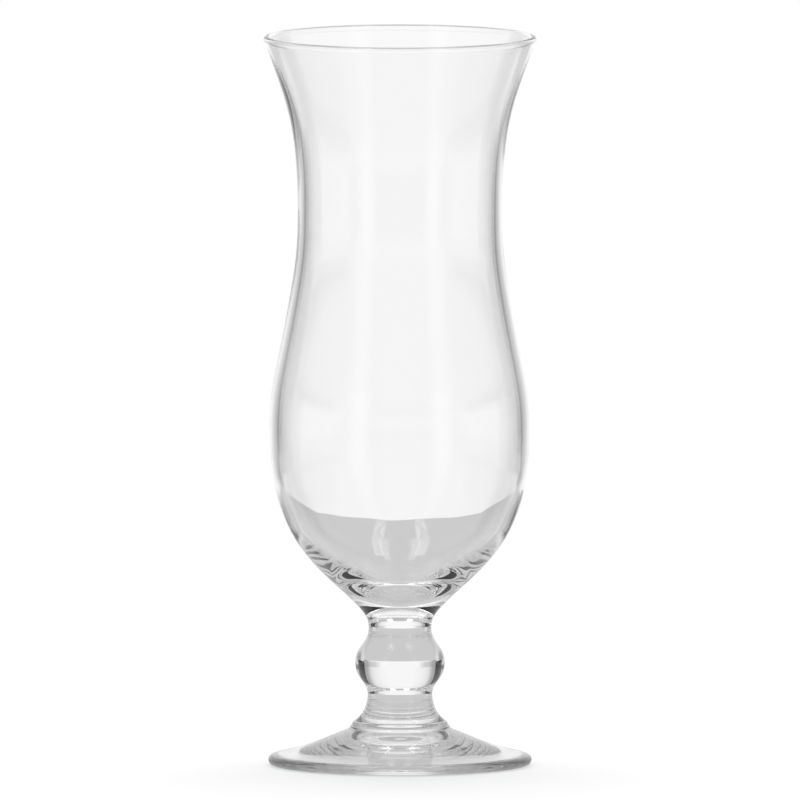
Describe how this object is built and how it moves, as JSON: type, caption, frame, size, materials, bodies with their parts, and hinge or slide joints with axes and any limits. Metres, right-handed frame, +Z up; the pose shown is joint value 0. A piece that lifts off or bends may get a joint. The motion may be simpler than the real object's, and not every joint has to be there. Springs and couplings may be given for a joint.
{
  "type": "hurricane glass",
  "caption": "Clear stemmed cocktail glass with a flared rim, a narrow waist, a full belly, a short knopped stem and a round sloped foot.",
  "frame": {"origin": "centre of the plane that the foot rests on", "axes": "+Z up along the glass's axis of turning, from the foot to the rim"},
  "size_m": [0.077, 0.077, 0.206],
  "materials": {
    "blown_glass": "clear soda-lime glass, blown and fire-polished",
    "pressed_glass": "clear soda-lime glass, pressed and fire-polished"
  },
  "bodies": {
    "root": {"bowl": "blown_glass", "stem": "pressed_glass", "foot": "pressed_glass"}
  },
  "joints": []
}
